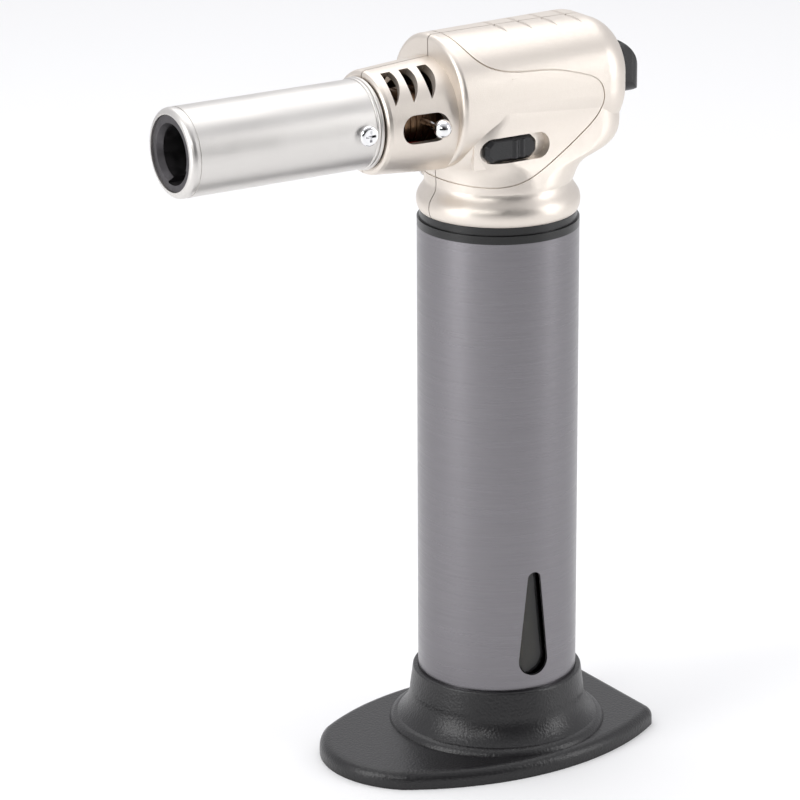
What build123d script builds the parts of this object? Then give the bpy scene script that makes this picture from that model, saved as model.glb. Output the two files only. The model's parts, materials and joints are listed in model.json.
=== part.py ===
"""Bench butane torch: an upright gas tank in a metal sleeve, a clamshell head and a side-facing nozzle.

Millimetres, +Z up.  The origin is on the ground on the axis of the sleeve, in the mouth of the
filling recess.  The nozzle points along -X and the trigger is at +X.  The plane y = 0 is the plane
in which the two halves of the head meet; the left half is at -Y.
"""
from build123d import *
import os
from math import cos, radians, sin

os.makedirs("parts", exist_ok=True)

# ---------------------------------------------------------------- driving sizes
# Foot
foot_edge_height = 4.8
foot_edge_round = 2.7
foot_floor = 6.0
foot_rim_height = 21.0
foot_nose_x = -53.6
foot_heel_x = 40.9
foot_side_y = 32.6
foot_corner_radius = 5.0
foot_collar_wall = 1.4
flare_foot_radius = 30.1
recess_radius = 11.0
recess_wall_length = 4.6
base_head_depth = 2.5
base_screw_circle = 17.2
post_radius = 2.9

# Sleeve and tank
sleeve_radius = 22.0
sleeve_wall = 1.0
sleeve_length = 142.7
window_angle = -96.0
window_bottom_radius = 4.4
window_top_radius = 1.95
window_low_z = 29.3
window_high_z = 53.2
tank_wall = 1.8
tank_sides = 14
tank_cap_thickness = 4.0

# Ring between the sleeve and the head
ring_band_height = 2.2
ring_step_height = 2.3
ring_step = 0.6
ring_plug_depth = 6.7
spigot_height = 2.0
spigot_flange = 1.2

# Head
shell_wall = 2.0
neck_height = 8.5
waist_inset = 2.1
bulge = 0.15
barrel_axis_height = 29.3
head_front_x = -22.4
head_rear_x = 32.6
head_front_radius = 17.95
head_centre_rise = 3.0
head_top_rise = 21.1
head_rear_half_width = 18.8
head_rear_height = 32.4
head_rear_round = 9.0
seam_gap = 0.3
grip_groove_count = 5
grip_groove_pitch = 7.65
grip_groove_first_x = -1.7
side_line_width = 0.35
side_line_depth = 0.4

# Collar, barrel and burner
collar_length = 20.6
collar_front_wall = 2.1
collar_rear_wall = 3.5
barrel_radius = 11.9
barrel_wall = 0.8
barrel_length = 57.2
lip_length = 2.1
lip_width = 1.9
insert_width = 2.9
insert_recess = 1.2
insert_length = 10.0
burner_gap = 5.4
burner_wall = 1.0
burner_length = 39.5
carrier_flange = 2.2
carrier_web = 4.0
air_sleeve_wall = 1.3
air_sleeve_length = 11.4
air_travel = 7.5
slot_length = 13.8
slot_height = 7.8

# Trigger, lock and igniter
trigger_travel = 6.0
trigger_reach = 8.6
trigger_height = 15.8
trigger_width = 16.8
electrode_radius = 0.5
insulator_radius = 1.4
spark_angle = 125.0
piezo_size = 8.0
piezo_length = 18.0
plunger_size = 5.4
lock_travel = 3.6
lock_length = 16.0
lock_height = 6.5
lock_slot_length = 20.9

# Gas and filling valves
valve_radius = 4.5
valve_travel = 2.0
fill_travel = 2.0
hose_radius = 1.5

# Fasteners
screw_radius = 1.4
pan_head_radius = 2.8
pan_head_height = 1.7

# Clearances
press_gap = 0.02
fit_gap = 0.06
seat_gap = 0.1
free_gap = 0.3

# ---------------------------------------------------------------- levels worked out from them
sleeve_top = foot_floor + sleeve_length
sleeve_bore = sleeve_radius - sleeve_wall
head_base = sleeve_top + ring_band_height + ring_step_height
waist_z = head_base + neck_height
neck_radius = sleeve_radius - waist_inset
axis_z = head_base + barrel_axis_height
head_top = axis_z + head_top_rise
collar_front_radius = barrel_radius + collar_front_wall
collar_rear_radius = barrel_radius + collar_rear_wall
insert_radius = barrel_radius - lip_width
insert_bore = insert_radius - insert_width
burner_radius = barrel_radius - burner_gap
collar_front_x = head_front_x - collar_length
collar_bore = barrel_radius + 0.75
barrel_rear_x = collar_front_x - free_gap
mouth_x = barrel_rear_x - barrel_length
insert_rear_x = mouth_x + lip_length + seat_gap + insert_length
barrel_bore = barrel_radius - barrel_wall
burner_rear_x = head_front_x + 0.4
burner_front_x = burner_rear_x - burner_length
spark_rise = burner_radius + 2.5
tip_rise = insert_bore + insert_recess - electrode_radius - 0.2


# ---------------------------------------------------------------- shape helpers
def block(x0, x1, y0, y1, z0, z1):
    """A box between two corners."""
    centre = ((x0 + x1) / 2, (y0 + y1) / 2, (z0 + z1) / 2)
    return Pos(*centre) * Box(x1 - x0, y1 - y0, z1 - z0)


def rod_z(radius, z0, z1, x=0.0, y=0.0):
    return Pos(x, y, (z0 + z1) / 2) * Cylinder(radius, z1 - z0)


def rod_x(radius, x0, x1, y=0.0, z=None):
    height = axis_z if z is None else z
    return Pos((x0 + x1) / 2, y, height) * Rot(0, 90, 0) * Cylinder(radius, x1 - x0)


def rod_y(radius, y0, y1, x, z):
    return Pos(x, (y0 + y1) / 2, z) * Rot(90, 0, 0) * Cylinder(radius, y1 - y0)


def tube_x(outer, inner, x0, x1):
    return rod_x(outer, x0, x1) - rod_x(inner, x0 - 1, x1 + 1)


def turned_z(profile):
    """Revolve a face drawn as (radius, z) about the axis of the sleeve."""
    return revolve(Plane.XZ * profile, Axis.Z)


def turned_x(points):
    """Revolve an outline of (x, radius) points about the axis of the barrel."""
    outline = Plane.XZ * make_face(Polyline(*points, close=True))
    return Pos(0, 0, axis_z) * revolve(outline, Axis.X)


def round_section_x(x, width, low, high, radius):
    """A rounded rectangle across the X axis."""
    plane = Plane(origin=(x, 0, (low + high) / 2), x_dir=(0, 1, 0), z_dir=(1, 0, 0))
    return plane * RectangleRounded(width, high - low, radius)


def round_section_z(z, x0, x1, half_width, radius):
    """A rounded rectangle across the Z axis."""
    plane = Plane.XY.offset(z)
    return plane * Pos((x0 + x1) / 2, 0) * RectangleRounded(x1 - x0, 2 * half_width, radius)


def round_the_barrel(shape):
    """Turn a shape made above the barrel's axis to the place of the electrode, low at -Y."""
    return shape.rotate(Axis((0, 0, axis_z), (1, 0, 0)), spark_angle)


def coil(radius, wire, z0, z1, turns):
    """A spring along Z, with its wire inside the two end planes."""
    height = z1 - z0 - 2 * wire
    path = Helix(pitch=height / turns, height=height, radius=radius)
    section = Plane(origin=path @ 0, z_dir=path % 0) * Circle(wire)
    return Pos(0, 0, z0 + wire) * sweep(section, path)


def pan_screw(length, radius=screw_radius, head=pan_head_radius, height=pan_head_height):
    """A cross-recess pan screw, its shank down -Z and its head up from z = 0."""
    body = Cylinder(head, height, align=(Align.CENTER, Align.CENTER, Align.MIN))
    body = fillet(body.edges().group_by(Axis.Z)[-1], height * 0.55)
    recess_depth = height * 0.6
    for turn in (0, 90):
        arm = Box(head * 1.1, head * 0.26, recess_depth)
        body -= Pos(0, 0, height - recess_depth / 2) * Rot(0, 0, turn) * arm
    shank = Cylinder(radius, length, align=(Align.CENTER, Align.CENTER, Align.MAX))
    return body + shank


def save(shape, name):
    export_step(shape, f"parts/{name}.step")


# ---------------------------------------------------------------- foot
def foot_outline(inset=0.0):
    """The foot seen from above: a round nose, two long curved sides and a straight heel."""
    nose_x = foot_nose_x + inset
    heel_x = foot_heel_x - inset
    side_y = foot_side_y - inset
    shoulder_x = nose_x + 9.4
    shoulder_y = side_y * 0.63
    heel_y = side_y * 0.58
    nose = ThreePointArc((shoulder_x, shoulder_y), (nose_x, 0), (shoulder_x, -shoulder_y))
    near = ThreePointArc((shoulder_x, -shoulder_y), (-4.4, -side_y), (heel_x, -heel_y))
    heel = Line((heel_x, -heel_y), (heel_x, heel_y))
    far = ThreePointArc((heel_x, heel_y), (-4.4, side_y), (shoulder_x, shoulder_y))
    face = make_face(Curve() + [nose, near, heel, far])
    face = fillet(face.vertices().group_by(Axis.X)[-1], foot_corner_radius)
    return fillet(face.vertices().group_by(Axis.X)[0], foot_corner_radius * 2)


def foot():
    collar_radius = sleeve_radius + seat_gap + foot_collar_wall
    plate = extrude(foot_outline(), foot_edge_height)
    plate = fillet(plate.edges().group_by(Axis.Z)[-1], foot_edge_round)
    shoulder = (collar_radius + 0.8, foot_floor + 8.3)
    brim = (flare_foot_radius - 2.2, foot_edge_height + 1.9)
    flare = turned_z(make_face(Curve() + [
        Line((0, 1), (flare_foot_radius, 1)),
        Line((flare_foot_radius, 1), (flare_foot_radius, foot_edge_height)),
        ThreePointArc((flare_foot_radius, foot_edge_height),
                      (flare_foot_radius - 0.7, foot_edge_height + 1.2), brim),
        ThreePointArc(brim, (collar_radius + 2.1, foot_floor + 3.5), shoulder),
        Line(shoulder, (collar_radius, foot_rim_height - 0.7)),
        ThreePointArc((collar_radius, foot_rim_height - 0.7),
                      (collar_radius - 0.2, foot_rim_height - 0.2),
                      (collar_radius - 0.7, foot_rim_height)),
        Line((collar_radius - 0.7, foot_rim_height), (0, foot_rim_height)),
        Line((0, foot_rim_height), (0, 1)),
    ]))
    body = plate + flare
    body -= rod_z(sleeve_radius + seat_gap, foot_floor, foot_rim_height + 1)
    body -= rod_z(recess_radius, -1, foot_floor + 1)
    body -= rod_z(recess_radius + 3, recess_wall_length, foot_floor + 1)
    for x, y in base_screw_places():
        body -= rod_z(pan_head_radius + free_gap, -1, base_head_depth, x, y)
        body -= rod_z(screw_radius + seat_gap, -1, foot_floor + 1, x, y)
    return body


def base_screw_places():
    turns = [radians(angle) for angle in (60, 180, 300)]
    return [(base_screw_circle * cos(a), base_screw_circle * sin(a)) for a in turns]


def base_screws():
    length = foot_floor - base_head_depth + 3.4
    screw = Rot(180, 0, 0) * pan_screw(length)
    return Compound([Pos(x, y, base_head_depth) * screw for x, y in base_screw_places()])


# ---------------------------------------------------------------- sleeve, tank and ring
def sleeve():
    tube = rod_z(sleeve_radius, foot_floor, sleeve_top) - rod_z(sleeve_bore, 0, sleeve_top + 1)
    low = Pos(0, window_low_z) * Circle(window_bottom_radius)
    high = Pos(0, window_high_z) * Circle(window_top_radius)
    window = extrude(make_hull(low.edges() + high.edges()), sleeve_radius + 5)
    to_side = Rot(0, 0, window_angle + 90) * Plane.XZ.location
    return tube - to_side * window


tank_floor_z = foot_floor + 4.0
tank_top_z = sleeve_top - ring_plug_depth - 6.0
tank_radius = sleeve_bore - free_gap


def tank():
    outer = Pos(0, 0, tank_floor_z) * extrude(
        RegularPolygon(tank_radius, tank_sides), tank_top_z - tank_floor_z)
    outer = fillet(outer.edges().filter_by(Axis.Z), 1.2)
    inner = Pos(0, 0, tank_floor_z + tank_wall) * extrude(
        RegularPolygon(tank_radius - tank_wall, tank_sides), tank_top_z - tank_floor_z)
    body = outer - inner - rod_z(valve_radius + press_gap, 0, tank_floor_z + 5)
    for x, y in base_screw_places():
        body += rod_z(post_radius, foot_floor + seat_gap, tank_floor_z + 0.5, x, y)
        body -= rod_z(screw_radius + press_gap, foot_floor, tank_floor_z - 0.3, x, y)
    return body


def tank_cap():
    plate = Pos(0, 0, tank_top_z) * extrude(RegularPolygon(tank_radius, tank_sides), tank_cap_thickness)
    plug = rod_z(tank_radius - tank_wall - 1.2, tank_top_z - 2.5, tank_top_z)
    boss = rod_z(valve_radius + 2.5, tank_top_z - 5, tank_top_z)
    return plate + plug + boss - rod_z(valve_radius + press_gap, 0, sleeve_top)


ring_top = head_base + spigot_height + spigot_flange


def upper_ring():
    outer = sleeve_radius
    step = sleeve_radius - ring_step
    spigot = neck_radius - shell_wall - 3.0
    flange = spigot + 2.0
    bore = valve_radius + 2.2
    levels = [
        (bore, sleeve_top - ring_plug_depth), (sleeve_bore - fit_gap, sleeve_top - ring_plug_depth),
        (sleeve_bore - fit_gap, sleeve_top), (outer, sleeve_top),
        (outer, sleeve_top + ring_band_height), (step, sleeve_top + ring_band_height),
        (step, head_base - seat_gap), (spigot, head_base - seat_gap),
        (spigot, head_base + spigot_height), (flange, head_base + spigot_height),
        (flange, ring_top), (bore, ring_top),
    ]
    return turned_z(make_face(Polyline(*levels, close=True)))


# ---------------------------------------------------------------- filling valve
fill_mouth_z = 5.0
fill_bore = 2.2
fill_seat_z = fill_mouth_z + 7.5
fill_chamber = 3.0
fill_top = fill_seat_z + 9.5


def fill_valve_body():
    body = rod_z(valve_radius, tank_floor_z, fill_top)
    body += rod_z(6.0, tank_floor_z - 1.8, tank_floor_z)
    body += rod_z(3.4, fill_mouth_z, tank_floor_z - 1.8)
    body -= rod_z(fill_bore, 0, fill_seat_z)
    body -= rod_z(1.7, 0, fill_seat_z + 1.2)
    body -= rod_z(fill_chamber, fill_seat_z + 1.2, fill_top - 1.2)
    return body - rod_z(0.9, 0, fill_top + 1)


def fill_stem():
    stem = rod_z(1.2, fill_mouth_z + 1.5, fill_seat_z + 2.4)
    stem += rod_z(2.5, fill_seat_z + 2.4, fill_seat_z + 3.6)
    return stem - rod_z(0.5, 0, fill_seat_z + 1)


def fill_seal():
    return rod_z(2.6, fill_seat_z + 1.3, fill_seat_z + 2.3) - rod_z(1.3, 0, fill_top)


def fill_spring():
    return coil(1.9, 0.28, fill_seat_z + 3.7, fill_top - 1.25, 4)


# ---------------------------------------------------------------- gas valve and hose
valve_foot_z = tank_top_z - 9.0
valve_top_z = ring_top + 3.2
arm_x = -8.0
chamber_low_z = valve_top_z - 13.0


def gas_valve_body():
    body = rod_z(valve_radius, valve_foot_z, valve_top_z)
    body += rod_z(6.0, tank_top_z + tank_cap_thickness, tank_top_z + tank_cap_thickness + 2)
    body += block(arm_x - 2.2, 0, -2.4, 2.4, ring_top + 0.4, valve_top_z - 0.4)
    body += rod_z(1.9, valve_top_z - 0.4, valve_top_z + 0.4, arm_x)
    body += rod_z(hose_radius * 0.6, valve_top_z, valve_top_z + 4, arm_x)
    body -= rod_z(3.0, chamber_low_z, valve_top_z - 1.5)
    body -= rod_z(0.9, 0, chamber_low_z + 1)
    return body - rod_z(1.6, chamber_low_z, valve_top_z + 1)


def gas_valve_stem():
    head_z = valve_top_z - 4.5
    stem = rod_z(1.5, head_z, valve_top_z + 3.2)
    stem += rod_z(2.6, head_z - 1.5, head_z)
    return stem + rod_z(2.1, valve_top_z + 2.4, valve_top_z + 3.4)


def gas_valve_seal():
    return rod_z(2.9, valve_top_z - 2.9, valve_top_z - 1.6) - rod_z(1.62, 0, valve_top_z)


def gas_valve_spring():
    return coil(2.2, 0.3, chamber_low_z + 0.05, valve_top_z - 6.05, 4)


jet_stub_x = -11.0
jet_stub_z = axis_z - 9.0


def gas_hose():
    low_z = valve_top_z + 0.4
    points = [(arm_x, low_z), (arm_x, low_z + 4.5),
              (jet_stub_x, jet_stub_z - 3.5), (jet_stub_x, jet_stub_z + 2)]
    path = Plane.XZ * FilletPolyline(*points, radius=5.0)
    bore = hose_radius * 0.6 + press_gap
    ring = Pos(arm_x, 0, low_z) * (Circle(hose_radius) - Circle(bore))
    return sweep(ring, path)


# ---------------------------------------------------------------- head shells
def head_form(inset=0.0):
    """The outside of the head without its collar, drawn in by the given amount."""
    centre = axis_z + head_centre_rise
    front = head_front_x + inset
    rear = head_rear_x - inset
    low_front = centre - head_front_radius
    low_rear = head_top - head_rear_height
    sections = [
        (front, head_front_radius, low_front, head_top - 0.15, head_front_radius * 0.95),
        (4.0, (head_front_radius + head_rear_half_width) / 2, (low_front + low_rear) / 2,
         head_top, head_front_radius * 0.89),
        (rear, head_rear_half_width, low_rear, head_top - 0.2, head_rear_half_width * 0.745),
    ]
    upper = loft([
        round_section_x(x, 2 * (half - inset), low + inset, high - inset, radius - inset)
        for x, half, low, high, radius in sections])
    rear_edges = upper.faces().sort_by(Axis.X)[-1].edges()
    upper = fillet(rear_edges, head_rear_round - inset)
    if not inset:
        upper = fillet(upper.faces().sort_by(Axis.X)[0].edges(), 1.4)
    throat = [
        (waist_z, -neck_radius, neck_radius, neck_radius, neck_radius - 0.4),
        (waist_z + 3.5, -neck_radius - 0.1, neck_radius + 1.8, neck_radius - 0.35, neck_radius * 0.935),
        (waist_z + 6.3, -neck_radius - 0.4, neck_radius + 5.3, neck_radius - 0.9, neck_radius * 0.855),
        (waist_z + 8.6, -neck_radius - 1.0, head_rear_x - 2.8, neck_radius - 1.4, neck_radius * 0.7),
        (waist_z + 11.5, -neck_radius - 1.6, head_rear_x - 0.9, neck_radius - 1.7, neck_radius * 0.58),
        (waist_z + 18.0, -neck_radius - 2.0, head_rear_x - 0.3, neck_radius - 1.85, neck_radius * 0.58),
        (waist_z + 24.5, -neck_radius - 2.0, head_rear_x - 0.5, neck_radius - 1.95, neck_radius * 0.58),
    ]
    lower = loft([
        round_section_z(z, x0 + inset, x1 - inset, half - inset, radius - inset)
        for z, x0, x1, half, radius in throat])
    bell = sleeve_radius + bulge - inset
    waist = neck_radius - inset
    foot_radius = bell - 0.75
    skirt = turned_z(make_face(Curve() + [
        Line((0, head_base), (foot_radius, head_base)),
        Spline((foot_radius, head_base), (bell, head_base + 2.2), (bell - 0.45, head_base + 4.8),
               (waist + 0.55, waist_z - 1.8), (waist, waist_z)),
        Line((waist, waist_z), (0, waist_z)),
        Line((0, waist_z), (0, head_base)),
    ]))
    if inset:
        skirt += rod_z(foot_radius, head_base - 1, head_base)
    return upper + lower + skirt


def collar_form():
    """The stepped sleeve that carries the barrel, still solid."""
    round_start = collar_front_x + 1.2
    return turned_x([
        (collar_front_x, 0), (collar_front_x, collar_front_radius - 1.1),
        (collar_front_x + 0.35, collar_front_radius - 0.35), (round_start, collar_front_radius),
        (head_front_x, collar_rear_radius), (head_front_x + shell_wall, collar_rear_radius),
        (head_front_x + shell_wall, 0)])


def collar_void():
    """The bore of the collar, with a groove that grips the burner carrier."""
    lip = barrel_radius + 0.2
    rib = barrel_bore - 0.1
    groove = collar_front_x + 0.7
    back = groove + carrier_flange + seat_gap
    return turned_x([
        (collar_front_x - 1, 0), (collar_front_x - 1, lip), (groove, lip), (groove, collar_bore),
        (back, collar_bore), (back, rib), (back + 1.1, rib), (back + 1.1, collar_bore),
        (head_front_x + 4, collar_bore), (head_front_x + 4, 0)])


slot_rear_x = head_front_x - 2.8
slot_front_x = slot_rear_x - slot_length
vent_first_x = collar_front_x + 4.7
vent_pitch = 5.4
vent_count = 3
vent_lift = 51.0
vent_half = 1.35
vent_reach = 5.5


def vent_cutters(side):
    """Leaf-shaped cutters through the upper flank of the collar, on one side."""
    lift = radians(vent_lift)
    flank = Plane(origin=(0, 0, axis_z), x_dir=(1, 0, 0), z_dir=(0, -cos(lift), sin(lift)))
    cutters = []
    for number in range(vent_count):
        x = vent_first_x + number * vent_pitch
        leaf = make_face(Curve() + [
            Line((x - vent_half, vent_reach), (x + vent_half, vent_reach)),
            ThreePointArc((x + vent_half, vent_reach), (x + 0.9, -1.2), (x - 1.9, -vent_reach)),
            ThreePointArc((x - 1.9, -vent_reach), (x - 1.9, 0.4), (x - vent_half, vent_reach)),
        ])
        cutter = flank * Pos(0, 0, barrel_radius / 2) * extrude(leaf, collar_rear_radius)
        cutters.append(cutter if side < 0 else mirror(cutter, Plane.XZ))
    return cutters


def grip_grooves():
    """Shallow V grooves across the top, which run out where the head curves down."""
    cutters = []
    for number in range(grip_groove_count):
        x = grip_groove_first_x + number * grip_groove_pitch
        vee = make_face(Polyline((x - 1.5, 0.5), (x, -0.75), (x + 0.7, 0.5), close=True))
        cutters.append(Pos(0, 15, head_top) * extrude(Plane.XZ * vee, 30))
    return cutters


def side_line():
    """A fine engraved line round the flank of the head, the same on both sides."""
    route = Spline(
        (-18.6, axis_z + 21.0), (-13.5, axis_z + 14.2), (-6.2, axis_z + 12.1), (5.7, axis_z + 11.3),
        (14.3, axis_z + 9.3), (20.4, axis_z + 6.0), (21.3, axis_z + 0.2), (15.6, axis_z - 6.4),
        (1.3, axis_z - 15.0), (-8.9, axis_z - 18.4), (-17.9, axis_z - 18.4), (-24.0, axis_z - 17.4))
    band = Pos(0, 30, 0) * extrude(Plane.XZ * trace(route, side_line_width), 60)
    return band - head_form(side_line_depth)


# Screw bosses as (x, z); the halves are pulled together from the right
upper_boss_z = head_top - 6.6
lower_boss_z = waist_z + 2.3
bosses = [(-14.0, upper_boss_z), (12.2, upper_boss_z), (-15.0, lower_boss_z), (14.5, lower_boss_z)]
boss_radius = 2.8
boss_head_radius = pan_head_radius + free_gap + 1.2
boss_screw_head_y = 11.0

# Opening for the trigger in the back of the head
trigger_low_z = axis_z - 1.2
trigger_high_z = trigger_low_z + trigger_height
trigger_mid_z = (trigger_low_z + trigger_high_z) / 2
piezo_z = axis_z + 5.5
piezo_rear_x = 10.0
piezo_front_x = piezo_rear_x - piezo_length

# Side pocket for the lock
lock_z = axis_z - 8.3
lock_front_x = -15.6
lock_slot_front_x = lock_front_x - 1.0
lock_slot_rear_x = lock_slot_front_x + lock_slot_length
lock_slot_half = lock_height / 2 + 0.25
pocket_y = -(head_front_radius + head_rear_half_width) / 2 + 2.6
stem_slot_x = lock_front_x + 6.0


def long_hole(x0, x1, z, half, y0, y1):
    """A round-ended slot along X, cut along Y."""
    hole = block(x0 + half, x1 - half, y0, y1, z - half, z + half)
    return hole + rod_y(half, y0, y1, x0 + half, z) + rod_y(half, y0, y1, x1 - half, z)


def head_shell(side):
    """One half of the head: side -1 is the left half and side +1 the right half."""
    skin = head_form() + collar_form()
    room = head_form(shell_wall)
    lip_bore = neck_radius - shell_wall - 3.0 + free_gap
    lip_top = head_base + spigot_height - seat_gap
    keep = rod_z(sleeve_radius + 3, head_base, lip_top) - rod_z(lip_bore, 0, lip_top + 1)
    shell = skin - (room - keep) - collar_void()
    inner_side = 17.2
    for x, z in bosses:
        post = rod_y(boss_radius, -inner_side, inner_side, x, z)
        post += rod_y(boss_head_radius, boss_screw_head_y - 1.8, inner_side, x, z)
        shell += post & skin
    for x in (piezo_front_x + 1, piezo_rear_x - 3):
        rib = block(x, x + 1.5, -inner_side, inner_side, piezo_z - 5, piezo_z + 5)
        rib -= block(x - 1, x + 3, -piezo_size / 2 - seat_gap, piezo_size / 2 + seat_gap,
                     piezo_z - 6, piezo_z + 6)
        shell += rib
    if side < 0:
        pad = block(lock_slot_front_x - 1.5, lock_slot_rear_x + 1.5, pocket_y, pocket_y + 1.4,
                    lock_z - lock_slot_half - 1.5, lock_z + lock_slot_half + 1.5)
        frame = block(lock_slot_front_x - 1.5, lock_slot_rear_x + 1.5, pocket_y - 3, pocket_y + 1.4,
                      lock_z - lock_slot_half - 1.5, lock_z + lock_slot_half + 1.5) & skin
        shell += frame + pad
        shell -= long_hole(lock_slot_front_x, lock_slot_rear_x, lock_z, lock_slot_half, -30, pocket_y)
        shell -= long_hole(stem_slot_x - 0.9, stem_slot_x + 3.9 + lock_travel, lock_z, 1.25, -30, 0)
    for cutter in vent_cutters(side) + grip_grooves() + [side_line()]:
        shell -= cutter
    if side < 0:
        shell -= long_hole(slot_front_x, slot_rear_x, axis_z, slot_height / 2, -20, -8)
    opening = block(head_rear_x - 9, head_rear_x + 5, -trigger_width / 2 - free_gap,
                    trigger_width / 2 + free_gap, trigger_low_z - free_gap,
                    trigger_high_z + free_gap)
    shell -= fillet(opening.edges().filter_by(Axis.X), 3.5)
    for x, z in bosses:
        shell -= rod_y(screw_radius + (press_gap if side < 0 else seat_gap), -11, 30, x, z)
        shell -= rod_y(pan_head_radius + free_gap, boss_screw_head_y, 30, x, z)
    half = block(-60, 60, 0, 40, head_base - 1, head_top + 1)
    half = Pos(0, seam_gap / 2, 0) * half
    if side < 0:
        half = mirror(half, Plane.XZ)
    return shell & half


def head_screws():
    screw = Rot(-90, 0, 0) * pan_screw(boss_screw_head_y + 9)
    return Compound([Pos(x, boss_screw_head_y, z) * screw for x, z in bosses])


# ---------------------------------------------------------------- barrel and burner
carrier_front_x = collar_front_x - 7.5
barrel_screw_x = carrier_front_x + carrier_web / 2


def barrel():
    """A thin tube, its mouth rolled in to a round lip and two rolled beads at its rear."""
    tube = rod_x(barrel_radius, mouth_x, barrel_rear_x)
    tube = fillet(tube.edges().group_by(Axis.X)[0], 1.7)
    for offset_x, rise, width in ((0.0, 0.5, 1.1), (1.2, 0.35, 0.9)):
        bead = rod_x(barrel_radius + rise, barrel_rear_x - offset_x - width, barrel_rear_x - offset_x)
        bead = fillet(bead.edges().filter_by(GeomType.CIRCLE), rise * 0.9)
        tube += bead
    crease_x = mouth_x + lip_length + 0.3
    tube -= tube_x(barrel_radius + 1, barrel_radius - 0.15, crease_x, crease_x + 0.35)
    tube -= rod_x(barrel_bore, mouth_x + lip_length, barrel_rear_x + 1)
    tube -= rod_x(insert_radius + seat_gap, mouth_x - 1, barrel_rear_x)
    return tube - rod_y(screw_radius + seat_gap, -20, 20, barrel_screw_x, axis_z)


def nozzle_insert():
    """The dark ring in the mouth, with a step behind the lip and a recess past the electrode."""
    face_x = mouth_x + 0.5
    shoulder_x = mouth_x + lip_length + seat_gap
    rear_x = insert_rear_x
    ring = turned_x([
        (face_x, insert_bore + 0.8), (face_x, insert_radius), (shoulder_x, insert_radius),
        (shoulder_x, barrel_bore - seat_gap), (rear_x, barrel_bore - seat_gap),
        (rear_x, insert_bore), (face_x + 1.6, insert_bore)])
    recess = rod_x(insert_bore + insert_recess, face_x - 1, rear_x + 1)
    recess &= block(face_x - 2, rear_x + 2, -insert_radius, 1.9, axis_z - insert_radius, axis_z - 3.0)
    return ring - recess


def burner_carrier():
    """The cup that holds barrel and burner and is gripped by the collar."""
    collar_groove_x = collar_front_x + 0.7 + seat_gap / 2
    rear_x = collar_groove_x + carrier_flange
    cup = turned_x([
        (carrier_front_x, burner_radius + press_gap), (carrier_front_x, barrel_bore - fit_gap),
        (collar_groove_x, barrel_bore - fit_gap), (collar_groove_x, collar_bore - seat_gap),
        (rear_x, collar_bore - seat_gap), (rear_x, barrel_bore - 1.1),
        (carrier_front_x + carrier_web, barrel_bore - 1.1),
        (carrier_front_x + carrier_web, burner_radius + press_gap)])
    cup -= round_the_barrel(
        rod_x(insulator_radius + press_gap, carrier_front_x - 1, rear_x, z=axis_z + spark_rise))
    return cup - rod_y(screw_radius + press_gap, -20, 20, barrel_screw_x, axis_z)


def barrel_screws():
    length = barrel_radius - burner_radius - 0.8
    near = Pos(barrel_screw_x, -barrel_radius, axis_z) * Rot(90, 0, 0) * pan_screw(length)
    return Compound([near, mirror(near, Plane.XZ)])


def burner_tube():
    tube = tube_x(burner_radius, burner_radius - burner_wall, burner_front_x, burner_rear_x)
    hole_x = head_front_x - 15.6
    for turn in range(0, 360, 60):
        hole = Rot(turn, 0, 0) * Pos(hole_x, 0, burner_radius) * Cylinder(1.6, 4)
        tube -= Pos(0, 0, axis_z) * hole
    return tube


def flame_holder():
    front_x = burner_front_x + 1.0
    disc = rod_x(burner_radius - burner_wall - press_gap, front_x, front_x + 3)
    for turn in range(0, 360, 45):
        hole = Rot(turn, 0, 0) * Pos(front_x, 0, 3.4) * Rot(0, 90, 0) * Cylinder(0.8, 10)
        disc -= Pos(0, 0, axis_z) * hole
    return disc - rod_x(1.5, front_x - 1, front_x + 4)


def jet_body():
    rear_x = jet_stub_x + 2.6
    body = rod_x(burner_radius - burner_wall - press_gap, burner_rear_x - 2.5, burner_rear_x)
    body += rod_x(burner_radius - 0.6, burner_rear_x, rear_x)
    body += rod_z(2.4, jet_stub_z + 2, axis_z, jet_stub_x)
    body -= rod_x(1.9, burner_rear_x - 3, burner_rear_x + 4)
    body -= rod_x(0.9, burner_rear_x - 3, jet_stub_x + 0.9)
    return body - rod_z(0.9, jet_stub_z, axis_z, jet_stub_x)


def gas_jet():
    jet = rod_x(1.9 - press_gap, burner_rear_x - 2.5, burner_rear_x + 4)
    jet += rod_x(2.6, burner_rear_x - 4.5, burner_rear_x - 2.5)
    return jet - rod_x(0.4, burner_rear_x - 6, burner_rear_x + 5)


# ---------------------------------------------------------------- air adjuster
knob_x = slot_rear_x - 3.4
knob_radius = 2.5
knob_reach = collar_rear_radius + 1.5
air_inner = burner_radius + fit_gap
air_outer = air_inner + air_sleeve_wall


def air_sleeve():
    front = knob_x - 5.9
    rear = front + air_sleeve_length
    body = tube_x(air_outer - 0.3, air_inner, front, rear)
    count = 6
    pitch = air_sleeve_length / count
    for number in range(count):
        x = front + number * pitch
        body += tube_x(air_outer, air_inner, x, x + pitch * 0.5)
    return body - rod_y(1.1 + press_gap, -20, 0, knob_x, axis_z)


def air_knob():
    pin = rod_y(1.1, -knob_reach, -air_inner - 0.1, knob_x, axis_z)
    return pin + Pos(knob_x, -knob_reach, axis_z) * Sphere(knob_radius)


# ---------------------------------------------------------------- igniter
def ceramic():
    rear_x = carrier_front_x + carrier_web + 0.2
    z = axis_z + spark_rise
    body = rod_x(insulator_radius, carrier_front_x - 6, rear_x, z=z)
    body -= rod_x(electrode_radius + press_gap, carrier_front_x - 7, rear_x - 1, z=z)
    return round_the_barrel(body)


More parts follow.
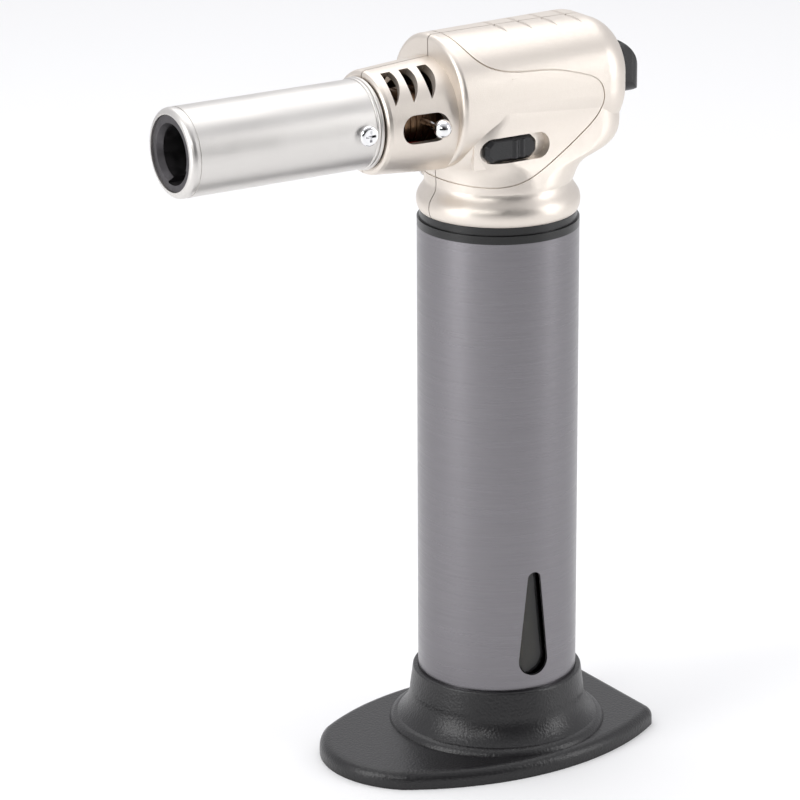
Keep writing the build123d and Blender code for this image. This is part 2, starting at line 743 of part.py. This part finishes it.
def electrode():
    """A wire along the burner, which bends in through the recess of the insert to the mouth."""
    z = axis_z + spark_rise
    tip_z = axis_z + tip_rise
    points = [(carrier_front_x, z), (burner_front_x - 3, z), (insert_rear_x + 3, tip_z),
              (mouth_x + 1.8, tip_z)]
    path = Plane.XZ * FilletPolyline(*points, radius=1.5)
    wire = sweep(Plane(origin=path @ 0, z_dir=path % 0) * Circle(electrode_radius), path)
    return round_the_barrel(wire)


def piezo_lead():
    low = piezo_z + 2.0
    rear_x = carrier_front_x + carrier_web + 0.2
    end_y = -spark_rise * sin(radians(spark_angle))
    end_z = axis_z + spark_rise * cos(radians(spark_angle))
    path = Spline((piezo_front_x, 0, low), (head_front_x + 8.4, end_y * 0.88, axis_z + 4.5),
                  (head_front_x + 2.4, -spark_rise, axis_z - 1.0), (head_front_x - 1, end_y, end_z),
                  (rear_x, end_y, end_z), tangents=((-1, 0, 0), (-1, 0, 0)))
    return sweep(Plane(origin=path @ 0, z_dir=path % 0) * Circle(electrode_radius), path)


def piezo_body():
    half = piezo_size / 2
    hole = plunger_size / 2 + fit_gap
    body = block(piezo_front_x, piezo_rear_x, -half, half, piezo_z - half, piezo_z + half)
    body = fillet(body.edges().filter_by(Axis.X), 0.8)
    return body - block(piezo_front_x + 1.5, piezo_rear_x + 1, -hole, hole,
                        piezo_z - hole, piezo_z + hole)


trigger_flange_x = head_rear_x - 8.2
plunger_front_x = piezo_front_x + 1.5 + 3.2 + trigger_travel + 0.3


def piezo_plunger():
    half = plunger_size / 2
    return block(plunger_front_x, trigger_flange_x, -half, half, piezo_z - half, piezo_z + half)


def piezo_spring():
    """The spring as it lies when the plunger is fully pressed."""
    upright = coil(1.9, 0.3, 0, 3.1, 4)
    return Pos(piezo_front_x + 1.55, 0, piezo_z) * Rot(0, 90, 0) * upright


# ---------------------------------------------------------------- trigger and lever
lever_pin_x = 5.5
lever_pin_z = ring_top + 9.1
lever_drop = lever_pin_z - (valve_top_z + 3.4) - 0.25
lever_arm = 14.0
pusher_z = lever_pin_z + lever_arm
lever_nose = 1.2


def trigger_button():
    """The thumb button, with a flange inside the head and a pusher for the valve lever."""
    half = trigger_width / 2
    tip_x = head_rear_x + trigger_reach
    low, high = trigger_low_z, trigger_high_z
    side_view = make_face(Curve() + [
        Line((trigger_flange_x, low), (tip_x - 3.0, low)),
        ThreePointArc((tip_x - 3.0, low), (tip_x - 0.75, low + 1.3), (tip_x, low + 4.0)),
        ThreePointArc((tip_x, low + 4.0), (tip_x - 2.9, high - 4.8), (head_rear_x - 1.0, high)),
        Line((head_rear_x - 1.0, high), (trigger_flange_x, high)),
        Line((trigger_flange_x, high), (trigger_flange_x, low)),
    ])
    button = Pos(0, half, 0) * extrude(Plane.XZ * side_view, trigger_width)
    rear_view = Plane(origin=(0, 0, trigger_mid_z), x_dir=(0, 1, 0), z_dir=(1, 0, 0))
    button &= rear_view * extrude(RectangleRounded(trigger_width, trigger_height, 3.2), tip_x + 5)
    top_view = RectangleRounded(2 * (tip_x - trigger_flange_x), trigger_width, 3.6)
    button &= Pos(trigger_flange_x, 0, low - 5) * extrude(top_view, trigger_height + 10)
    flange = block(trigger_flange_x, trigger_flange_x + 1.8, -half - 1.3, half + 1.3,
                   low - 1.5, high + 1.5)
    pusher = block(lever_pin_x + lever_nose + 1.1, trigger_flange_x + 1, -1.8, 1.8,
                   pusher_z - 1.2, pusher_z + 1.2)
    web = block(trigger_flange_x - 2, trigger_flange_x + 1, -1.8, 1.8,
                pusher_z - 1.2, low + 1)
    return button + flange + pusher + web


def valve_lever():
    """A bell crank: its upper nose meets the pusher, its lower nose presses the valve stem."""
    lower_z = lever_pin_z - lever_drop + lever_nose
    arms = make_hull(
        (Pos(lever_pin_x, lever_pin_z) * Circle(2.2)).edges()
        + (Pos(lever_pin_x, pusher_z) * Circle(lever_nose)).edges())
    lower = make_hull(
        (Pos(lever_pin_x, lever_pin_z) * Circle(2.2)).edges()
        + (Pos(0, lower_z) * Circle(lever_nose)).edges())
    plate = Pos(0, 1.5, 0) * extrude(Plane.XZ * (arms + lower), 3.0)
    return plate - rod_y(1.0 + fit_gap, -5, 5, lever_pin_x, lever_pin_z)


def lever_pin():
    return rod_y(1.0, -4.6, 4.6, lever_pin_x, lever_pin_z)


def lever_bracket():
    base = block(1.9, 9.5, -4.6, 4.6, ring_top, ring_top + 1.2)
    base -= rod_z(valve_radius + seat_gap, ring_top - 1, ring_top + 2)
    body = base
    for side in (-1, 1):
        ear = block(lever_pin_x - 2.1, lever_pin_x + 2.1, 3.2, 4.6, ring_top, lever_pin_z)
        ear += rod_y(2.1, 3.2, 4.6, lever_pin_x, lever_pin_z)
        body += ear if side > 0 else mirror(ear, Plane.XZ)
    return body - rod_y(1.0 + press_gap, -6, 6, lever_pin_x, lever_pin_z)


# ---------------------------------------------------------------- lock
def lock_slider():
    """A thumb slide with a wide bevel all round and two raised ridges past its middle."""
    x0 = lock_front_x
    x1 = x0 + lock_length
    half = lock_height / 2
    face_y = pocket_y - 2.4
    slide = block(x0, x1, face_y, pocket_y - seat_gap, lock_z - half, lock_z + half)
    slide = chamfer(slide.edges().filter_by(Axis.Y), 1.9)
    slide = fillet(slide.edges().filter_by(Axis.Y), 1.3)
    slide = chamfer(slide.faces().sort_by(Axis.Y)[0].edges(), 0.95)
    for share, rise in ((0.56, 0.55), (0.71, 0.4)):
        x = x0 + lock_length * share
        ridge = rod_z(1.15, lock_z - half + 0.8, lock_z + half - 0.8, x, face_y + 1.15 - rise)
        slide += ridge
    stem_x = stem_slot_x
    return slide + block(stem_x, stem_x + 3.0, pocket_y - 0.5, pocket_y + 2.0,
                         lock_z - 1.0, lock_z + 1.0)


def lock_hook():
    """The plate inside the head that the slider's stem is riveted to."""
    x0 = stem_slot_x - 2.5
    y0 = pocket_y + 1.4 + free_gap
    plate = block(x0, x0 + 9, y0, y0 + 1.2, lock_z - 3, lock_z + 3)
    plate += block(x0 + 6.5, x0 + 9, y0, y0 + 5, lock_z + 1, lock_z + 3)
    return plate - block(stem_slot_x - press_gap, stem_slot_x + 3 + press_gap, y0 - 1, y0 + 2,
                         lock_z - 1 - press_gap, lock_z + 1 + press_gap)


save(foot(), "base_foot")
save(base_screws(), "base_screws")
save(sleeve(), "outer_sleeve")
save(tank(), "fuel_tank")
save(tank_cap(), "tank_cap")
save(upper_ring(), "upper_ring")
save(fill_valve_body(), "fill_valve_body")
save(fill_stem(), "fill_valve_stem")
save(fill_seal(), "fill_valve_seal")
save(fill_spring(), "fill_valve_spring")
save(gas_valve_body(), "gas_valve_body")
save(gas_valve_stem(), "gas_valve_stem")
save(gas_valve_seal(), "gas_valve_seal")
save(gas_valve_spring(), "gas_valve_spring")
save(gas_hose(), "gas_hose")
save(head_shell(-1), "head_shell_left")
save(head_shell(1), "head_shell_right")
save(head_screws(), "head_screws")
save(barrel(), "nozzle_barrel")
save(nozzle_insert(), "nozzle_insert")
save(barrel_screws(), "barrel_screws")
save(burner_carrier(), "burner_carrier")
save(burner_tube(), "burner_tube")
save(flame_holder(), "flame_holder")
save(jet_body(), "jet_body")
save(gas_jet(), "gas_jet")
save(air_sleeve(), "air_sleeve")
save(air_knob(), "air_knob")
save(ceramic(), "electrode_ceramic")
save(electrode(), "electrode")
save(piezo_lead(), "piezo_lead")
save(piezo_body(), "piezo_body")
save(piezo_plunger(), "piezo_plunger")
save(piezo_spring(), "piezo_spring")
save(trigger_button(), "trigger_button")
save(valve_lever(), "valve_lever")
save(lever_pin(), "lever_pin")
save(lever_bracket(), "lever_bracket")
save(lock_slider(), "lock_slider")
save(lock_hook(), "lock_hook")
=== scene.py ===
"""Looks of the bench butane torch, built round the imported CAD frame.  Everything is in metres."""
import json
import math

import bpy
from mathutils import Matrix, Vector

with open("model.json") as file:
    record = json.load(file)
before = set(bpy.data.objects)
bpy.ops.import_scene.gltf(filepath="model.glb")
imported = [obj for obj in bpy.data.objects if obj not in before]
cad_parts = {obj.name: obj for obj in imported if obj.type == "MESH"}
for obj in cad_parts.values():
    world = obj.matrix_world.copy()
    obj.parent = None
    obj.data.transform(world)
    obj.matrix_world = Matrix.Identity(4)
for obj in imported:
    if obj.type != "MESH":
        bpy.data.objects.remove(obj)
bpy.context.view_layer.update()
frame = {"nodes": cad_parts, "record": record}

nodes = frame["nodes"]

# ---------------------------------------------------------------- camera, as fitted to the view
CAMERA_PLACE = (-0.5784, -0.8704, 0.4463)
CAMERA_ANGLES = (-32.14, 18.424, 0.286)
CAMERA_LENS = 180.8
SENSOR_WIDTH = 36.0
FAR_CLIP = 20.0

# ---------------------------------------------------------------- studio: lengths in metres, power in watts
FLOOR_HALF = 4.0
FLOOR_GREY = 0.93
ROOM_TINT = (0.97, 0.97, 1.0)
ROOM_DARK_SIDE = (-0.45, -0.80, -0.25)
ROOM_LEVELS = (0.0, 0.80, 0.80, 0.03)
SOFTBOXES = [
    ("left_box", (-1.0, 0.0, 0.45), (0, 0, 0.12), (0.45, 0.9), 5),
    ("right_box", (0.75, -0.75, 0.40), (0, 0, 0.12), (0.22, 0.8), 3),
    ("front_box", (-0.95, -0.75, 0.75), (0, 0, 0.12), (0.30, 0.30), 2),
    ("top_box", (0.15, 0.45, 1.1), (0.1, 0.3, 0), (1.3, 1.3), 6),
]


# ---------------------------------------------------------------- node-building helpers
RANGE_SOCKETS = ("From Min", "From Max", "To Min", "To Max")


class Build:
    """A material under construction: a Principled shader and short calls that wire nodes to it."""

    def __init__(self, name, colour, metallic=0.0, roughness=0.5, **sockets):
        self.material = bpy.data.materials.new(name)
        self.material.use_nodes = True
        self.tree = self.material.node_tree
        self.shader = self.tree.nodes["Principled BSDF"]
        self.set(self.shader, "Base Color", (*colour, 1.0))
        self.set(self.shader, "Metallic", metallic)
        self.set(self.shader, "Roughness", roughness)
        for socket, value in sockets.items():
            self.set(self.shader, socket.replace("_", " "), value)
        self.place = self.tree.nodes.new("ShaderNodeTexCoord").outputs["Object"]

    def set(self, node, socket, value):
        if isinstance(value, bpy.types.NodeSocket):
            self.tree.links.new(value, node.inputs[socket])
        else:
            node.inputs[socket].default_value = value

    def add(self, kind, **inputs):
        node = self.tree.nodes.new("ShaderNode" + kind)
        for socket, value in inputs.items():
            self.set(node, socket.replace("_", " "), value)
        return node

    def scaled(self, scale):
        """Object coordinates stretched by a scale for each axis, in waves per metre."""
        mapping = self.add("Mapping", Scale=scale)
        self.tree.links.new(self.place, mapping.inputs["Vector"])
        return mapping.outputs["Vector"]

    def noise(self, scale, detail=2.0, roughness=0.5):
        node = self.add("TexNoise", Vector=self.scaled(scale), Scale=1.0, Detail=detail)
        node.inputs["Roughness"].default_value = roughness
        return node.outputs["Fac"]

    def cells(self, scale):
        node = self.add("TexVoronoi", Vector=self.scaled(scale), Scale=1.0)
        return node.outputs["Distance"]

    def remap(self, value, low, high, out_low, out_high):
        node = self.add("MapRange", Value=value)
        for socket, number in zip(RANGE_SOCKETS, (low, high, out_low, out_high)):
            node.inputs[socket].default_value = number
        return node.outputs["Result"]

    def mix(self, factor, colour_a, colour_b):
        node = self.tree.nodes.new("ShaderNodeMix")
        node.data_type = "RGBA"
        self.tree.links.new(factor, node.inputs[0])
        node.inputs[6].default_value = (*colour_a, 1.0)
        node.inputs[7].default_value = (*colour_b, 1.0)
        return node.outputs[2]

    def colour(self, socket):
        self.set(self.shader, "Base Color", socket)

    def rough(self, socket):
        self.set(self.shader, "Roughness", socket)

    def bump(self, height, distance, strength=1.0):
        node = self.add("Bump", Height=height, Distance=distance, Strength=strength)
        previous = self.shader.inputs["Normal"].links
        if previous:
            self.tree.links.new(previous[0].from_socket, node.inputs["Normal"])
        self.tree.links.new(node.outputs["Normal"], self.shader.inputs["Normal"])


# ---------------------------------------------------------------- materials
def champagne_metal():
    """The satin, slightly sparkling finish of the head."""
    build = Build("head_metal", (0.76, 0.70, 0.64), 1.0, 0.40)
    cloud = build.noise((18, 18, 18), 3)
    build.colour(build.mix(cloud, (0.735, 0.675, 0.61), (0.79, 0.73, 0.665)))
    build.rough(build.remap(build.noise((900, 900, 900), 2), 0.3, 0.7, 0.37, 0.46))
    build.bump(build.noise((3000, 3000, 3000), 2), 0.00004, 0.6)
    return build.material


def gunmetal_sleeve():
    """Anodised tube, brushed round its axis."""
    build = Build("sleeve_metal", (0.20, 0.195, 0.21), 1.0, 0.34)
    lines = build.noise((25, 25, 5200), 2, 0.6)
    bands = build.noise((60, 60, 1900), 3, 0.7)
    build.colour(build.mix(bands, (0.205, 0.197, 0.210), (0.240, 0.232, 0.245)))
    build.rough(build.remap(lines, 0.3, 0.7, 0.26, 0.36))
    build.bump(lines, 0.00002, 0.6)
    return build.material


def barrel_metal():
    """Brushed steel tube, its lines round the barrel."""
    build = Build("barrel_steel", (0.70, 0.68, 0.66), 1.0, 0.36)
    lines = build.noise((4200, 30, 30), 2, 0.6)
    cloud = build.noise((60, 45, 45), 4, 0.55)
    build.colour(build.mix(cloud, (0.66, 0.64, 0.615), (0.73, 0.71, 0.685)))
    build.rough(build.remap(cloud, 0.3, 0.7, 0.33, 0.42))
    build.bump(lines, 0.00002, 0.5)
    return build.material


def plain_steel(name, colour, roughness):
    """A bare metal with faint wear."""
    build = Build(name, colour, 1.0, roughness)
    wear = build.noise((500, 500, 500), 4)
    build.rough(build.remap(wear, 0.3, 0.7, roughness * 0.8, min(1.0, roughness * 1.3)))
    build.bump(build.noise((2500, 2500, 2500), 2), 0.00002, 0.3)
    return build.material


def moulded_plastic(name, colour, roughness, grain, depth):
    """A dielectric with a moulded grain: grain in cells per metre, depth in metres."""
    build = Build(name, colour, 0.0, roughness, Specular_IOR_Level=0.5)
    pits = build.cells((grain, grain, grain))
    fine = build.noise((grain * 2.2, grain * 2.2, grain * 2.2), 2)
    build.rough(build.remap(fine, 0.3, 0.7, roughness * 0.88, min(1.0, roughness * 1.15)))
    build.bump(pits, depth, 0.6)
    build.bump(fine, depth * 0.5, 0.4)
    return build.material


def smoky_plastic():
    """The clear brown plastic of the tank."""
    build = Build("tank_plastic", (0.28, 0.25, 0.18), 0.0, 0.03, IOR=1.49)
    build.set(build.shader, "Transmission Weight", 1.0)
    haze = build.noise((120, 120, 40), 3)
    build.colour(build.mix(haze, (0.22, 0.20, 0.15), (0.36, 0.33, 0.25)))
    build.rough(build.remap(haze, 0.3, 0.7, 0.01, 0.06))
    return build.material


MATERIALS = {
    "foot_plastic": moulded_plastic("foot_plastic", (0.010, 0.0095, 0.0105), 0.34, 1400, 0.00011),
    "sleeve_metal": gunmetal_sleeve(),
    "tank_plastic": smoky_plastic(),
    "inner_plastic": moulded_plastic("inner_plastic", (0.10, 0.10, 0.10), 0.5, 1200, 0.00003),
    "ring_plastic": moulded_plastic("ring_plastic", (0.006, 0.006, 0.006), 0.30, 2200, 0.00002),
    "valve_brass": plain_steel("valve_brass", (0.75, 0.57, 0.26), 0.28),
    "seal_rubber": moulded_plastic("seal_rubber", (0.02, 0.02, 0.02), 0.7, 1800, 0.00003),
    "spring_steel": plain_steel("spring_steel", (0.6, 0.6, 0.6), 0.25),
    "screw_steel": plain_steel("screw_steel", (0.6, 0.6, 0.6), 0.3),
    "hose_rubber": moulded_plastic("hose_rubber", (0.05, 0.05, 0.05), 0.6, 1800, 0.00003),
    "head_metal": champagne_metal(),
    "barrel_steel": barrel_metal(),
    "insert_metal": plain_steel("insert_metal", (0.10, 0.095, 0.10), 0.45),
    "bright_chrome": plain_steel("bright_chrome", (0.86, 0.86, 0.87), 0.08),
    "burner_steel": plain_steel("burner_steel", (0.36, 0.31, 0.26), 0.35),
    "burner_bronze": plain_steel("burner_bronze", (0.24, 0.15, 0.09), 0.4),
    "white_ceramic": moulded_plastic("white_ceramic", (0.86, 0.84, 0.80), 0.2, 900, 0.00001),
    "electrode_steel": plain_steel("electrode_steel", (0.6, 0.6, 0.6), 0.25),
    "lead_rubber": moulded_plastic("lead_rubber", (0.35, 0.04, 0.03), 0.45, 1800, 0.00002),
    "plunger_plastic": moulded_plastic("plunger_plastic", (0.75, 0.73, 0.66), 0.4, 1200, 0.00002),
    "control_plastic": moulded_plastic("control_plastic", (0.007, 0.007, 0.008), 0.30, 2200, 0.00002),
    "lever_steel": plain_steel("lever_steel", (0.55, 0.55, 0.52), 0.3),
}


def dress_frame():
    """Give every CAD node the material of its slot."""
    for row in frame["record"]["subparts"]:
        mesh = nodes[row["node"]].data
        mesh.materials.clear()
        mesh.materials.append(MATERIALS[row["material_slot"]])


# ---------------------------------------------------------------- putting the scene together
def add_camera():
    azimuth, elevation, roll = (math.radians(a) for a in CAMERA_ANGLES)
    back = Vector((math.sin(azimuth) * math.cos(elevation),
                   -math.cos(azimuth) * math.cos(elevation), math.sin(elevation)))
    right = Vector((math.cos(azimuth), math.sin(azimuth), 0))
    up = back.cross(right)
    turned_right = right * math.cos(roll) - up * math.sin(roll)
    turned_up = right * math.sin(roll) + up * math.cos(roll)
    data = bpy.data.cameras.new("camera")
    data.lens = CAMERA_LENS
    data.sensor_width = SENSOR_WIDTH
    data.clip_end = FAR_CLIP
    camera = bpy.data.objects.new("camera", data)
    axes = Matrix((turned_right, turned_up, back)).transposed().to_4x4()
    camera.matrix_world = Matrix.Translation(CAMERA_PLACE) @ axes
    bpy.context.scene.collection.objects.link(camera)
    bpy.context.scene.camera = camera


def add_floor():
    mesh = bpy.data.meshes.new("floor")
    far = FLOOR_HALF
    corners = [(-far, -far, 0), (far, -far, 0), (far, far, 0), (-far, far, 0)]
    mesh.from_pydata(corners, [], [(0, 1, 2, 3)])
    floor = bpy.data.objects.new("floor", mesh)
    bpy.context.scene.collection.objects.link(floor)
    build = Build("floor_paper", (FLOOR_GREY,) * 3, 0.0, 0.7)
    darker, lighter = (FLOOR_GREY - 0.01,) * 3, (FLOOR_GREY + 0.01,) * 3
    build.colour(build.mix(build.noise((3, 3, 3), 2), darker, lighter))
    mesh.materials.append(build.material)


def add_softbox(name, place, target, size, power):
    data = bpy.data.lights.new(name, "AREA")
    data.shape = "RECTANGLE"
    data.size, data.size_y = size
    data.energy = power
    lamp = bpy.data.objects.new(name, data)
    aim = Vector(target) - Vector(place)
    lamp.matrix_world = (Matrix.Translation(place)
                         @ aim.to_track_quat("-Z", "Y").to_matrix().to_4x4())
    bpy.context.scene.collection.objects.link(lamp)


def add_world():
    """A pale room that is dark on the side of the camera, so that bright metal shows contrast."""
    world = bpy.data.worlds.new("studio")
    bpy.context.scene.world = world
    world.use_nodes = True
    tree = world.node_tree
    background = tree.nodes["Background"]
    background.inputs["Color"].default_value = (*ROOM_TINT, 1)
    direction = tree.nodes.new("ShaderNodeTexCoord")
    facing = tree.nodes.new("ShaderNodeVectorMath")
    facing.operation = "DOT_PRODUCT"
    facing.inputs[1].default_value = ROOM_DARK_SIDE
    level = tree.nodes.new("ShaderNodeMapRange")
    level.interpolation_type = "SMOOTHSTEP"
    for socket, number in zip(RANGE_SOCKETS, ROOM_LEVELS):
        level.inputs[socket].default_value = number
    tree.links.new(direction.outputs["Generated"], facing.inputs[0])
    tree.links.new(facing.outputs["Value"], level.inputs["Value"])
    tree.links.new(level.outputs["Result"], background.inputs["Strength"])


def add_light():
    bpy.context.scene.view_settings.view_transform = "Standard"
    add_world()
    for box in SOFTBOXES:
        add_softbox(*box)


dress_frame()
add_camera()
add_floor()
add_light()
